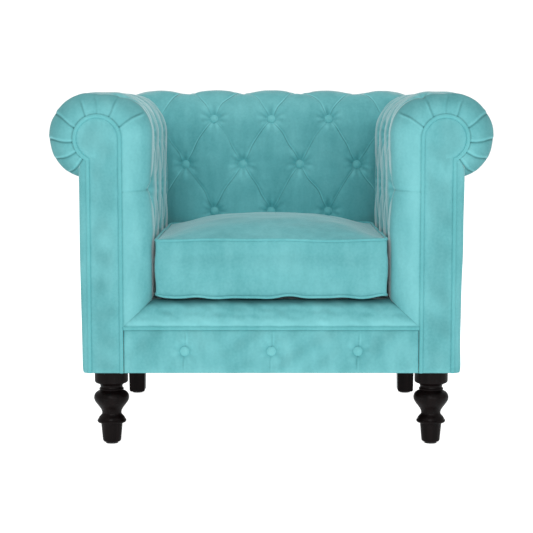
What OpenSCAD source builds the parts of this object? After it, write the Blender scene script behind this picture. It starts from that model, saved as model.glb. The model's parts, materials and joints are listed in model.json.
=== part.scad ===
// Deep-buttoned scroll-arm armchair with a loose box cushion.
// Millimetres. +Z is up and the front faces -Y. The origin is on the floor,
// under the middle of the chair. Right-hand parts are drawn on the +X side
// and mirrored for the left.

/* [Overall] */
// Width over the two rolled arms
overall_w = 1000; // [990:2:1010]
// Depth from the front piping to the back roll
overall_d = 800; // [790:2:810]
// Height of the underside of the upholstered body
body_z = 170; // [166:1:174]

/* [Seat] */
// Width between the inside arms
seat_w = 536; // [528:2:540]
// Depth from the front piping to the inside back
seat_d = 568; // [564:1:572]
// Height of the deck that the cushion lies on
deck_z = 332; // [328:1:335]
// Height of the cushion's sides
cushion_side_h = 135; // [125:1:145]
// How far the cushion's top swells above its sides
cushion_crown = 38; // [20:1:40]

/* [Arms and back] */
// Thickness of the arm and back walls below the rolls
wall_t = 157; // [155:1:159]
// Radius of the arm and back rolls
roll_r = 97; // [94:1:98]
// Height of the arm roll's centre
arm_roll_z = 700; // [690:1:704]
// Height of the back roll's centre
back_roll_z = 711; // [706:1:716]
// Thickness of the buttoned velvet with its fibre wadding
cover_t = 30; // [28:1:32]
// Depth of the padded edge that turns round the front
border_r = 46; // [42:1:47]

/* [Facings] */
// Radius of the round head of the arm facing
facing_r = 50; // [48:1:50]
// Height of the facing head's centre
facing_z = 693; // [690:1:695]
// Width of the facing's straight stem
facing_w = 71; // [68:1:71]
// Radius of the piping
welt_r = 4.5; // [4:0.1:4.5]
// Height of the horizontal piping under the seat lip
lip_welt_z = 271; // [270:1:273]

/* [Buttons] */
// Distance between two buttons in a row
tuft_pitch = 148; // [144:1:150]
// Distance between two rows along the padding
tuft_rise = 122; // [118:1:124]
// Height of the second row of buttons on the inside arms
arm_tuft_z = 580; // [576:1:582]
// Height of the lowest row of buttons on the inside back
back_tuft_z = 498; // [494:1:502]
// How deep a button's base sits below the padding's outline
button_sink = 18; // [15:1:22]
// Radius of a covered button
button_r = 10.5; // [9:0.5:11]
// Distance between two buttons on the front rail
front_button_pitch = 194; // [180:2:200]

/* [Legs] */
// Radius of the turned cap at the top of the front leg
leg_cap_r = 38; // [36:0.5:39]
// Radius of the front leg's bulb
leg_bulb_r = 40; // [38:0.2:41]
// Radius at the foot of the front leg
leg_foot_r = 21; // [19:0.5:22]
// Width of the rear leg at its top
rear_leg_top = 47; // [44:1:48]
// Width of the rear leg at the floor
rear_leg_foot = 41; // [38:1:43]

/* [Hidden] */
$fn = 64;
tiny = 1;
far = 2000;

VELVET = [0.42, 0.74, 0.76];
PIPING = [0.50, 0.80, 0.82];
LEG_WOOD = [0.13, 0.09, 0.09];
FRAME_WOOD = [0.80, 0.66, 0.46];
PLYWOOD = [0.74, 0.58, 0.38];
FOAM = [0.94, 0.90, 0.76];
JUTE = [0.68, 0.56, 0.38];
LINING = [0.10, 0.10, 0.11];
STEEL = [0.70, 0.71, 0.73];
FELT = [0.30, 0.30, 0.30];

// Main planes
seat_x = seat_w / 2;
front_y = -overall_d / 2;
back_y = front_y + seat_d;
arm_out_x = seat_x + wall_t;
back_out_y = back_y + wall_t;
mitre_off = seat_x - back_y;

// Front facings, from the piping backwards
facing_y = front_y + 2;
board_y = facing_y + 16;
wall_y = facing_y + border_r;
welt_y = front_y + welt_r;
facing_x = 385;
facing_in_x = facing_x - facing_r;
facing_out_x = facing_in_x + facing_w;

// Frame
skin_t = 5;
stud = 45;
frame_out_x = arm_out_x - skin_t;
frame_in_x = frame_out_x - stud;
frame_back_y = back_out_y - skin_t;
frame_in_y = frame_back_y - stud;
frame_z = body_z + 2;
rail_top = frame_z + 90;
web_t = 3;
pad_low_z = deck_z - 25;
former_r = 40;
arm_former_x = frame_in_x + 9;
back_former_y = frame_in_y + 9;
arm_post_top = arm_roll_z - 80;
back_post_top = back_roll_z - 80;

// Legs and their fixings
front_leg = [364, wall_y + 12];
rear_leg = [362, frame_back_y - 20];
leg_spots = [for (x = [-1, 1]) for (leg = [front_leg, rear_leg]) [x * leg.x, leg.y]];
bolt_r = 4;
bore_r = 5;
block_h = 50;
glide_t = 3;

// Springs
wire_r = 2;
wire_z = rail_top + 3.5 + wire_r;
spring_x = [-195, -65, 65, 195];
spring_from = wall_y - 10;
spring_to = frame_in_y + 22;
spring_runs = 16;
spring_pitch = (spring_to - spring_from) / spring_runs;
spring_half = 18;

// Buttons, measured along the padding upwards from the floor
arm_tuft_rows = [for (i = [-1:2]) arm_tuft_z + i * tuft_rise];
arm_tuft_y0 = wall_y + 26;
back_tuft_rows = [for (i = [0:3]) back_tuft_z + i * tuft_rise];
pocket_r = button_r + 1.5;
button_h = 7;

// Loose cushion
fit_gap = 0.3;
welt_w = 2 * welt_r;
cushion_x = seat_x - 2 - welt_w;
cushion_y0 = wall_y - 20;
cushion_y1 = back_y - 5 - welt_w;
cushion_z0 = deck_z + fit_gap;
cushion_z1 = cushion_z0 + cushion_side_h;
cushion_corner = 12;
wrap_t = 15;

// Zip along the cushion's rear side
zip_z = cushion_z0 + 70;
zip_len = 400;
zip_y = cushion_y1 + 1.2;
slider_y = zip_y + fit_gap;
pin_y = slider_y + 5;
pin_r = 0.8;
slider_x0 = -zip_len / 2 + 8;

// ---------- helpers ----------

module left() mirror([1, 0, 0]) children();

module box(low, high) translate(low) cube(high - low);

// A flat outline in X and Z, drawn through from y0 to y1.
module along_y(y0, y1)
    translate([0, y1, 0]) rotate([90, 0, 0]) linear_extrude(y1 - y0) children();

// A flat outline in Y and Z, drawn through from x0 to x1.
module along_x(x0, x1)
    translate([x0, 0, 0]) rotate([90, 0, 90]) linear_extrude(x1 - x0) children();

module rect(low, high) translate(low) square(high - low);

// Cross-section of a roll between its inner face and its outer edge.
module roll_outline(face, outer, z, inset) {
    r = roll_r - inset;
    for (c = [face + roll_r, outer - roll_r])
        translate([c, z]) circle(r);
    rect([face + roll_r, z - r], [outer - roll_r, z + r]);
}

// The roll with the upright wall below it, whose face is moved in by inset.
module wall_outline(face, outer, wall, z, low, inset) {
    roll_outline(face, outer, z, inset);
    rect([face + inset, low], [wall, z]);
}

// The keyhole outline of the arm facing, grown or shrunk by grow.
module keyhole(grow) {
    translate([facing_x, facing_z]) circle(facing_r + grow);
    rect([facing_in_x - grow, body_z], [facing_out_x + grow, facing_z]);
}

// Plan areas of one arm and of the back, which meet at a mitre.
module arm_zone()
    linear_extrude(far)
        polygon([[mitre_off, -far], [far, -far], [far, far - mitre_off], [mitre_off, 0]]);

module back_zone()
    linear_extrude(far)
        polygon([[0, -mitre_off], [far, far - mitre_off], [-far, far - mitre_off]]);

// Where a length s up the padding ends: [distance in, height, lean].
function up_wall(s, face, z) =
    s <= z
        ? [face, s, 0]
        : let (a = (s - z) / roll_r * 180 / PI)
          [face + roll_r * (1 - cos(a)), z + roll_r * sin(a), a];

module at_arm_tuft(s, y) {
    p = up_wall(s, seat_x, arm_roll_z);
    translate([p[0], y, p[1]]) rotate([0, p[2] - 90, 0]) children();
}

module at_back_tuft(s, x) {
    p = up_wall(s, back_y, back_roll_z);
    translate([x, p[0], p[1]]) rotate([90 - p[2], 0, 0]) children();
}

module at_arm_tufts()
    for (i = [0:3])
        for (j = [0 : i % 2 == 0 ? 2 : 3])
            at_arm_tuft(arm_tuft_rows[i], arm_tuft_y0 + (j + (i % 2 == 0 ? 0.5 : 0)) * tuft_pitch)
                children();

module at_back_tufts()
    for (i = [0:3])
        for (x = i % 2 == 0 ? [-1, 0, 1] : [-1.5, -0.5, 0.5, 1.5])
            at_back_tuft(back_tuft_rows[i], x * tuft_pitch) children();

module at_front_tufts()
    for (i = [-1:1])
        translate([i * front_button_pitch, facing_y, (body_z + lip_welt_z) / 2 - 2])
            rotate([90, 0, 0]) children();

module tuft_pocket(depth)
    translate([0, 0, -depth]) cylinder(r = pocket_r, h = depth + 10);

// A covered button, domed on its outer side, lying on a base at -depth.
module button(depth) {
    rim = 3;
    rise = button_h - rim;
    dome_r = (button_r * button_r + rise * rise) / (2 * rise);
    translate([0, 0, -depth]) {
        cylinder(r = button_r, h = rim);
        intersection() {
            translate([0, 0, button_h - dome_r]) sphere(dome_r);
            translate([0, 0, rim]) cylinder(r = button_r, h = button_h);
        }
    }
}

// ---------- legs and their fixings ----------

// Radii of the turned part blend between the stations like a lathe tool's path.
function ease(a, b, n) =
    [for (i = [0:n - 1]) let (t = (1 - cos(180 * i / n)) / 2)
        [a[0] + (b[0] - a[0]) * t, a[1] + (b[1] - a[1]) * i / n]];

function arc(c, r, from, to, n) =
    [for (i = [0:n]) let (a = from + (to - from) * i / n) [c[0] + r * cos(a), c[1] + r * sin(a)]];

module leg_bore()
    translate([0, 0, body_z - 40]) cylinder(r = bolt_r, h = 50);

module front_leg() {
    neck = 25;
    waist = 22;
    ring = 33;
    edge = 6;
    bulb_z = 106;
    color(LEG_WOOD)
        translate(concat(front_leg, 0))
            difference() {
                rotate_extrude()
                    polygon(concat(
                        [[0, body_z], [leg_cap_r, body_z]],
                        arc([leg_cap_r - edge, 145], edge, 0, -90, 5),
                        [[neck + 4, 137.5], [neck + 1, 135], [neck, 131]],
                        arc([neck, 125.5], 3, 75, -75, 5),
                        [for (a = [80:-10:10])
                            [neck + 1 + (leg_bulb_r - neck - 1) * cos(a), bulb_z + 15 * sin(a)]],
                        ease([leg_bulb_r, bulb_z], [waist, 70], 12),
                        ease([waist, 70], [ring - 3, 57], 5),
                        arc([ring - 4, 52], 4, 60, -70, 6),
                        [[leg_foot_r + 3.5, 47], [leg_foot_r + 3.2, 44]],
                        arc([leg_foot_r - edge, glide_t + edge], edge, 0, -90, 5),
                        [[0, glide_t]]
                    ));
                leg_bore();
            }
}

module rear_leg() {
    edge = 6;
    foot = rear_leg_foot / 2;
    module side()
        polygon(concat(
            arc([foot - edge, glide_t + edge], edge, -90, 0, 4),
            [[rear_leg_top / 2, body_z], [-rear_leg_top / 2, body_z]],
            arc([edge - foot, glide_t + edge], edge, -180, -90, 4)
        ));
    color(LEG_WOOD)
        translate(concat(rear_leg, 0))
            difference() {
                intersection() {
                    along_y(-rear_leg_top, rear_leg_top) side();
                    along_x(-rear_leg_top, rear_leg_top) side();
                }
                leg_bore();
            }
}

module leg_glides()
    color(FELT)
        for (p = leg_spots)
            translate(p) cylinder(r = 14, h = glide_t);

module leg_bolts()
    color(STEEL)
        for (p = leg_spots)
            translate(concat(p, body_z - 40)) cylinder(r = bolt_r, h = 40 + block_h + 6);

module leg_tee_nuts()
    color(STEEL)
        for (p = leg_spots)
            translate(concat(p, frame_z + block_h))
                difference() {
                    union() {
                        translate([0, 0, -14]) cylinder(r = bore_r, h = 14);
                        cylinder(r = 11, h = 1.6);
                    }
                    translate([0, 0, -20]) cylinder(r = bolt_r, h = 40);
                }

// ---------- hardwood frame ----------

module front_rail()
    color(FRAME_WOOD)
        box(
            [-facing_out_x - welt_r, board_y, frame_z],
            [facing_out_x + welt_r, wall_y, rail_top]
        );

module corner_block(spot) {
    low = spot.y < 0
        ? [frame_in_x - 50, wall_y, frame_z]
        : [frame_in_x - 50, frame_in_y, frame_z];
    difference() {
        box(low, low + [50, spot.y < 0 ? 62 : stud, block_h]);
        translate(concat(spot, 0)) cylinder(r = bore_r, h = far);
    }
}

module corner_blocks()
    color(FRAME_WOOD)
        for (spot = [front_leg, rear_leg]) {
            corner_block(spot);
            left() corner_block(spot);
        }

module rear_rail()
    color(FRAME_WOOD)
        difference() {
            box([-frame_in_x, frame_in_y, frame_z], [frame_in_x, frame_back_y, rail_top]);
            for (x = [-frame_in_x - 50, frame_in_x - 50])
                translate([x, frame_in_y - tiny, 0])
                    cube([100, stud + 2 * tiny, frame_z + block_h + 10]);
        }

module side_rail()
    color(FRAME_WOOD)
        box([frame_in_x, wall_y + 50, frame_z], [frame_out_x, frame_in_y, rail_top]);

module arm_post()
    color(FRAME_WOOD)
        box([frame_in_x, wall_y, frame_z], [frame_out_x, wall_y + 50, arm_post_top]);

module back_post()
    color(FRAME_WOOD)
        box([frame_in_x, frame_in_y, frame_z], [frame_out_x, frame_back_y, back_post_top]);

module arm_roll_rail() {
    arm_former_end = back_former_y - former_r;
    color(FRAME_WOOD) {
        along_y(wall_y, arm_former_end) {
            translate([arm_former_x, arm_roll_z]) circle(former_r);
            rect([frame_in_x, arm_post_top], [frame_out_x, arm_roll_z]);
        }
        box(
            [frame_in_x, arm_former_end - tiny, arm_post_top],
            [frame_out_x, frame_in_y, arm_post_top + 45]
        );
    }
}

module back_roll_rail()
    color(FRAME_WOOD)
        along_x(-frame_out_x, frame_out_x) {
            translate([back_former_y, back_roll_z]) circle(former_r);
            rect([frame_in_y, back_post_top], [frame_back_y, back_roll_z]);
        }

module scroll_board()
    color(PLYWOOD)
        along_y(board_y, wall_y)
            difference() {
                keyhole(welt_r);
                rect([0, 0], [far, rail_top]);
            }

// ---------- springs, deck and lining ----------

// Centre line of one sinuous spring: straight runs joined by half-round bends.
function spring_path() =
    let (r = spring_pitch / 2)
    concat(
        [[-spring_half, 0]],
        [for (i = [0:spring_runs - 1], a = [-90:36:90]) let (side = i % 2 == 0 ? 1 : -1)
            [side * (spring_half + r * cos(a)), (i + 0.5) * spring_pitch + r * sin(a)]],
        [[spring_half, spring_runs * spring_pitch]]
    );

// A round wire along a path that lies flat.
module wire(path) {
    sides = 8;
    last = len(path) - 1;
    points = [for (i = [0:last], k = [0:sides - 1])
        let (
            way = path[min(i + 1, last)] - path[max(i - 1, 0)],
            across = [-way.y, way.x] / norm(way),
            a = 360 * k / sides
        )
        concat(path[i] + wire_r * cos(a) * across, wire_r * sin(a))];
    polyhedron(points, concat(
        [[for (k = [0:sides - 1]) k]],
        [for (i = [0:last - 1], k = [0:sides - 1])
            let (a = i * sides, b = a + sides, n = (k + 1) % sides)
            [a + k, b + k, b + n, a + n]],
        [[for (k = [sides - 1:-1:0]) last * sides + k]]
    ));
}

module seat_springs()
    color(STEEL)
        for (x = spring_x)
            translate([x, spring_from, wire_z]) wire(spring_path());

module spring_clips()
    color(STEEL)
        for (x = spring_x)
            for (y = [spring_from, spring_to])
                difference() {
                    box([x - 11, y - 6, rail_top], [x + 11, y + 6, wire_z + wire_r - 0.5]);
                    translate([x - 20, y, wire_z])
                        rotate([0, 90, 0]) cylinder(r = wire_r + 0.1, h = 40);
                }

module spring_tie_rods()
    color(STEEL)
        for (y = [-150, 80])
            translate([-frame_out_x + 20, y, rail_top + 1.5])
                rotate([0, 90, 0]) cylinder(r = 1.5, h = 2 * (frame_out_x - 20));

module deck_pad()
    color(FOAM)
        box([2 - seat_x, wall_y, wire_z + wire_r + 0.2], [seat_x - 2, back_y - 2, deck_z - 4]);

module deck_cover()
    color(VELVET)
        box([2 - seat_x, wall_y, deck_z - 4], [seat_x - 2, back_y - 2, deck_z]);

module dust_cover()
    color(LINING)
        difference() {
            box(
                [-facing_out_x, board_y + 2, body_z],
                [facing_out_x, frame_back_y - 2, frame_z]
            );
            for (p = leg_spots) translate(p) cylinder(r = bore_r + 1, h = far);
        }

module arm_webbing() {
    strip_w = 50;
    module strips()
        for (z = [pad_low_z + 30 : 100 : arm_post_top - strip_w])
            box(
                [frame_in_x - web_t, wall_y + 7, z],
                [frame_in_x, frame_in_y + 25, z + strip_w]
            );
    color(JUTE) {
        strips();
        left() strips();
    }
}

module back_webbing()
    color(JUTE)
        for (x = spring_x)
            box(
                [x - 25, frame_in_y - web_t, frame_z + 18],
                [x + 25, frame_in_y, back_roll_z - former_r - 3]
            );

// ---------- arms ----------

module arm_foam()
    color(FOAM)
        difference() {
            intersection() {
                along_y(wall_y, overall_d / 2)
                    wall_outline(
                        seat_x, overall_w / 2, frame_in_x - web_t, arm_roll_z,
                        pad_low_z, cover_t
                    );
                arm_zone();
            }
            arm_roll_rail();
            back_roll_rail();
        }

module arm_cover()
    color(VELVET)
        difference() {
            intersection() {
                along_y(wall_y, overall_d / 2)
                    difference() {
                        wall_outline(
                            seat_x, overall_w / 2, arm_out_x, arm_roll_z, pad_low_z, 0
                        );
                        wall_outline(
                            seat_x, overall_w / 2, arm_out_x + tiny, arm_roll_z, 0, cover_t
                        );
                    }
                arm_zone();
            }
            at_arm_tufts() tuft_pocket(button_sink);
        }

module arm_buttons()
    color(VELVET) at_arm_tufts() button(button_sink);

// Solid whose front edges are all rounded by border_r.
module rounded_arm_front() {
    module quarter() intersection() { circle(border_r); square(border_r); }
    flat_r = roll_r - border_r;
    roll_x = [seat_x + roll_r, overall_w / 2 - roll_r];
    along_y(facing_y, wall_y)
        rect([seat_x + border_r, body_z], [arm_out_x, arm_roll_z]);
    translate([seat_x + border_r, wall_y, body_z])
        rotate([0, 0, 180]) linear_extrude(arm_roll_z - body_z) quarter();
    for (x = roll_x)
        translate([x, wall_y, arm_roll_z])
            rotate([90, 0, 0])
                rotate_extrude() {
                    square([flat_r, border_r]);
                    translate([flat_r, 0]) quarter();
                }
    along_x(roll_x[0], roll_x[1]) {
        rect([facing_y, arm_roll_z - flat_r], [wall_y, arm_roll_z + flat_r]);
        translate([wall_y, arm_roll_z + flat_r]) rotate(90) quarter();
        translate([wall_y, arm_roll_z - flat_r]) rotate(180) quarter();
    }
}

module arm_border()
    color(VELVET)
        difference() {
            rounded_arm_front();
            along_y(facing_y - tiny, wall_y + tiny) {
                keyhole(welt_r);
                polygon([
                    [0, 0], [facing_in_x, 0], [facing_in_x, lip_welt_z],
                    [seat_x, deck_z], [0, deck_z],
                ]);
            }
        }

module arm_panel()
    color(VELVET) along_y(facing_y, board_y) keyhole(-welt_r);

module arm_welt() {
    neck_x = facing_out_x - facing_x;
    neck_z = sqrt(facing_r * facing_r - neck_x * neck_x);
    neck_a = atan2(-neck_z, neck_x);
    color(PIPING)
        translate([0, welt_y, 0]) {
            translate([facing_in_x, 0, body_z]) cylinder(r = welt_r, h = facing_z - body_z);
            translate([facing_out_x, 0, body_z])
                cylinder(r = welt_r, h = facing_z - neck_z - body_z);
            translate([facing_out_x, 0, facing_z - neck_z]) sphere(welt_r);
            translate([facing_x, 0, facing_z])
                rotate([90, 0, 0])
                    rotate([0, 0, neck_a])
                        rotate_extrude(angle = 180 - neck_a)
                            translate([facing_r, 0]) circle(welt_r);
        }
}

module outside_arm()
    color(VELVET)
        box(
            [frame_out_x, wall_y, body_z],
            [arm_out_x, back_out_y, arm_roll_z - roll_r]
        );

// ---------- back ----------

module back_foam()
    color(FOAM)
        difference() {
            intersection() {
                along_x(-overall_w / 2, overall_w / 2)
                    wall_outline(
                        back_y, overall_d / 2, frame_in_y - web_t, back_roll_z,
                        pad_low_z, cover_t
                    );
                back_zone();
            }
            back_roll_rail();
            back_webbing();
        }

module back_cover()
    color(VELVET)
        difference() {
            intersection() {
                along_x(-overall_w / 2, overall_w / 2)
                    difference() {
                        wall_outline(
                            back_y, overall_d / 2, back_out_y, back_roll_z, pad_low_z, 0
                        );
                        wall_outline(
                            back_y, overall_d / 2, back_out_y + tiny, back_roll_z, 0, cover_t
                        );
                    }
                back_zone();
            }
            at_back_tufts() tuft_pocket(button_sink);
        }

module back_buttons()
    color(VELVET) at_back_tufts() button(button_sink);

module outside_back()
    color(VELVET)
        box(
            [-frame_out_x, frame_back_y, body_z],
            [frame_out_x, back_out_y, back_roll_z - roll_r]
        );

// ---------- front ----------

module front_border() {
    round_z = deck_z - border_r;
    color(VELVET)
        intersection() {
            union() {
                along_x(-facing_in_x, facing_in_x) {
                    intersection() {
                        translate([wall_y, round_z]) circle(border_r);
                        rect([facing_y, round_z], [wall_y, deck_z]);
                    }
                    rect([facing_y, lip_welt_z + welt_r], [wall_y, round_z]);
                }
                along_x(welt_r - facing_in_x, facing_in_x - welt_r)
                    rect([board_y, rail_top], [board_y + 10, round_z]);
            }
            along_y(facing_y - tiny, wall_y + tiny)
                polygon([
                    [welt_r - facing_in_x, 0], [facing_in_x - welt_r, 0],
                    [facing_in_x - welt_r, lip_welt_z], [facing_in_x, lip_welt_z],
                    [seat_x, deck_z], [-seat_x, deck_z],
                    [-facing_in_x, lip_welt_z], [welt_r - facing_in_x, lip_welt_z],
                ]);
        }
}

module front_welt()
    color(PIPING)
        translate([welt_r - facing_in_x, welt_y, lip_welt_z])
            rotate([0, 90, 0]) cylinder(r = welt_r, h = 2 * (facing_in_x - welt_r));

module front_panel()
    color(VELVET)
        difference() {
            box(
                [welt_r - facing_in_x, facing_y, body_z],
                [facing_in_x - welt_r, board_y, lip_welt_z - welt_r]
            );
            at_front_tufts() tuft_pocket(10);
        }

module front_buttons()
    color(VELVET) at_front_tufts() button(10);

// ---------- loose seat cushion ----------

module rounded_rect(x, y0, y1, r) {
    rect([-x, y0 + r], [x, y1 - r]);
    rect([r - x, y0], [x - r, y1]);
    for (cx = [r - x, x - r])
        for (cy = [y0 + r, y1 - r])
            translate([cx, cy]) circle(r);
}

// The cushion's shape: a rounded box whose top swells in the middle.
module cushion_form() {
    half_y = (cushion_y1 - cushion_y0) / 2;
    swell = min(cushion_x, half_y) - 3;
    swell_r = (swell * swell + cushion_crown * cushion_crown) / (2 * cushion_crown);
    translate([0, 0, cushion_z0])
        linear_extrude(cushion_side_h)
            rounded_rect(cushion_x, cushion_y0, cushion_y1, cushion_corner);
    intersection() {
        translate([0, cushion_y0 + half_y, cushion_z1 + cushion_crown - swell_r])
            sphere(swell_r, $fn = 200);
        translate([0, cushion_y0 + half_y, cushion_z1 - tiny])
            cylinder(r = swell + 2, h = cushion_crown + 2 * tiny);
    }
}

// The foam block inside, wrapped all round in the cover's fibre lining.
module foam_block()
    translate([0, 0, cushion_z0 + wrap_t])
        linear_extrude(cushion_side_h - 2 * wrap_t)
            rounded_rect(
                cushion_x - wrap_t, cushion_y0 + wrap_t, cushion_y1 - wrap_t, cushion_corner
            );

module cushion_cover()
    color(VELVET)
        difference() {
            cushion_form();
            foam_block();
        }

module cushion_core()
    color(FOAM) foam_block();

// Piping round the cushion at height z.
module cushion_welt(z) {
    r = cushion_corner;
    w = r + welt_r;
    color(PIPING)
        translate([0, 0, z]) {
            for (y = [cushion_y0 - welt_r, cushion_y1 + welt_r])
                translate([r - cushion_x, y, 0])
                    rotate([0, 90, 0]) cylinder(r = welt_r, h = 2 * (cushion_x - r));
            for (x = [-cushion_x - welt_r, cushion_x + welt_r])
                translate([x, cushion_y1 - r, 0])
                    rotate([90, 0, 0])
                        cylinder(r = welt_r, h = cushion_y1 - cushion_y0 - 2 * r);
            for (c = [
                [cushion_x - r, cushion_y1 - r, 0], [r - cushion_x, cushion_y1 - r, 90],
                [r - cushion_x, cushion_y0 + r, 180], [cushion_x - r, cushion_y0 + r, 270],
            ])
                translate([c[0], c[1], 0])
                    rotate([0, 0, c[2]])
                        rotate_extrude(angle = 90) translate([w, 0]) circle(welt_r);
        }
}

module zip_tape()
    color(FELT)
        box([-zip_len / 2, cushion_y1, zip_z - 15], [zip_len / 2, zip_y, zip_z + 15]);

module zip_slider() {
    lug_x = 2;
    lug_z = 3.3;
    lug_t = 1.5;
    color(STEEL) {
        box(
            [slider_x0 - 11, slider_y, zip_z - 7],
            [slider_x0 + 11, slider_y + 3, zip_z + 7]
        );
        for (z = [zip_z - lug_z - lug_t, zip_z + lug_z])
            box(
                [slider_x0 - lug_x, slider_y + 3 - 0.5, z],
                [slider_x0 + lug_x, pin_y + 1.4, z + lug_t]
            );
        translate([slider_x0, pin_y, zip_z - lug_z - 0.5])
            cylinder(r = pin_r, h = 2 * lug_z + 1, $fn = 24);
    }
}

module zip_pull() {
    half_w = 3;
    eye_r = 1.6;
    tab_len = 11;
    color(STEEL)
        translate([slider_x0, pin_y, zip_z])
            difference() {
                union() {
                    translate([0, 0, -half_w]) cylinder(r = eye_r, h = 2 * half_w, $fn = 24);
                    box([0, -0.7, -half_w], [tab_len, 0.7, half_w]);
                }
                cylinder(r = pin_r + 0.3, h = far, center = true, $fn = 24);
            }
}

// ---------- output ----------

left() front_leg();  // front_leg_left
front_leg();  // front_leg_right
left() rear_leg();  // rear_leg_left
rear_leg();  // rear_leg_right
leg_glides();
leg_bolts();
leg_tee_nuts();
front_rail();
rear_rail();
left() side_rail();  // side_rail_left
side_rail();  // side_rail_right
corner_blocks();
left() arm_post();  // arm_post_left
arm_post();  // arm_post_right
left() back_post();  // back_post_left
back_post();  // back_post_right
left() arm_roll_rail();  // arm_roll_rail_left
arm_roll_rail();  // arm_roll_rail_right
back_roll_rail();
left() scroll_board();  // scroll_board_left
scroll_board();  // scroll_board_right
seat_springs();
spring_clips();
spring_tie_rods();
deck_pad();
deck_cover();
dust_cover();
arm_webbing();
back_webbing();
left() arm_foam();  // arm_foam_left
arm_foam();  // arm_foam_right
back_foam();
left() arm_cover();  // arm_cover_left
arm_cover();  // arm_cover_right
back_cover();
left() arm_border();  // arm_border_left
arm_border();  // arm_border_right
front_border();
left() arm_panel();  // arm_panel_left
arm_panel();  // arm_panel_right
front_panel();
left() arm_welt();  // arm_welt_left
arm_welt();  // arm_welt_right
front_welt();
left() outside_arm();  // outside_arm_left
outside_arm();  // outside_arm_right
outside_back();
back_buttons();
left() arm_buttons();  // arm_buttons_left
arm_buttons();  // arm_buttons_right
front_buttons();
cushion_cover();
cushion_core();
cushion_welt(cushion_z1);  // cushion_welt_top
cushion_welt(cushion_z0 + welt_r + 0.7);  // cushion_welt_bottom
zip_tape();
zip_slider();
zip_pull();
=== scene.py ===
"""Scroll-arm club chair in turquoise velvet: the looks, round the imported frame.

Everything is in metres. A padded wall is described by the length s up its
padding and by the distance t along it, so that buttons, pleats and wrinkles
sit on one flat pattern that bends over the roll.
"""

import json

import bmesh
import bpy
import numpy as np
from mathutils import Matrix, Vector


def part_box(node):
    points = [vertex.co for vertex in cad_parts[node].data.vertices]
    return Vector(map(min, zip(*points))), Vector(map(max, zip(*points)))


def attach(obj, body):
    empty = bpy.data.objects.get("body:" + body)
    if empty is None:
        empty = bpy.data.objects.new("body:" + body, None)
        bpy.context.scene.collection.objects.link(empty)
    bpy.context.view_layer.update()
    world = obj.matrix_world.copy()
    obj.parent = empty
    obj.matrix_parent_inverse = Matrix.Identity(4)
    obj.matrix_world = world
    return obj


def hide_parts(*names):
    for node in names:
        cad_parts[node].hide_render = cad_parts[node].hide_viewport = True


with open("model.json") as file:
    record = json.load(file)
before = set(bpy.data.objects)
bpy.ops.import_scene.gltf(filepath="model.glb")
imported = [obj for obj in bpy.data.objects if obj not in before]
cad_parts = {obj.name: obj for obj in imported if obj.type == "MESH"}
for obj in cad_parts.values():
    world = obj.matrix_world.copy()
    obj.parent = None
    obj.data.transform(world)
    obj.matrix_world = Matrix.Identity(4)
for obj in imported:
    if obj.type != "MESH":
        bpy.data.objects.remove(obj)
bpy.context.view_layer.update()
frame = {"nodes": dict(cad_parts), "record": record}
PI = np.pi

# ---------- sizes read from the frame ----------

ARM_LOW, ARM_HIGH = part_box("arm_cover_right")
BACK_LOW, BACK_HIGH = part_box("back_cover")
FACING_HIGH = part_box("arm_panel_right")[1]
WELT_LOW, WELT_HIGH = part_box("arm_welt_right")
PANEL_LOW, PANEL_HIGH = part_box("front_panel")
LIP_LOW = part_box("front_border")[0]
OUTSIDE_LOW, OUTSIDE_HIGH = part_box("outside_arm_right")
REAR_LOW, REAR_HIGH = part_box("outside_back")
DECK_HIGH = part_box("deck_cover")[1]
DUST_LOW, DUST_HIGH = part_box("dust_cover")
SEAT_LOW, SEAT_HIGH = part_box("cushion_cover")
TOP_WELT_LOW, TOP_WELT_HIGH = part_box("cushion_welt_top")
LOW_WELT_LOW, LOW_WELT_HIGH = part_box("cushion_welt_bottom")
FRONT_WELT_LOW, FRONT_WELT_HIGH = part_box("front_welt")
ZIP_LOW, ZIP_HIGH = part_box("zip_tape")

SEAT_X = ARM_LOW.x
ARM_EDGE = ARM_HIGH.x
ARM_OUT = OUTSIDE_HIGH.x
BACK_Y = BACK_LOW.y
BACK_EDGE = BACK_HIGH.y
BACK_OUT = REAR_HIGH.y
BODY_Z = OUTSIDE_LOW.z
DECK_Z = DECK_HIGH.z
MITRE = SEAT_X - BACK_Y
ROLL_R = (ARM_HIGH.z - OUTSIDE_HIGH.z) / 2
ARM_ROLL_Z = ARM_HIGH.z - ROLL_R
BACK_ROLL_Z = BACK_HIGH.z - ROLL_R
FRONT_Y = LIP_LOW.y
TURN_Y = ARM_LOW.y
WELT_R = (FRONT_WELT_HIGH.z - FRONT_WELT_LOW.z) / 2
WELT_Y = WELT_LOW.y + WELT_R
LIP_Z = FRONT_WELT_LOW.z + WELT_R
FACING_IN = WELT_LOW.x + WELT_R
HEAD_R = 0.050
STEM = 0.071
HEAD_X = FACING_IN + HEAD_R
HEAD_Z = WELT_HIGH.z - WELT_R - HEAD_R
STEM_OUT = FACING_IN + STEM
NECK = np.arctan2(-np.sqrt(HEAD_R**2 - (STEM_OUT - HEAD_X) ** 2), STEM_OUT - HEAD_X)
NECK_Z = HEAD_Z + HEAD_R * np.sin(NECK)

# ---------- the button pattern ----------

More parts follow.
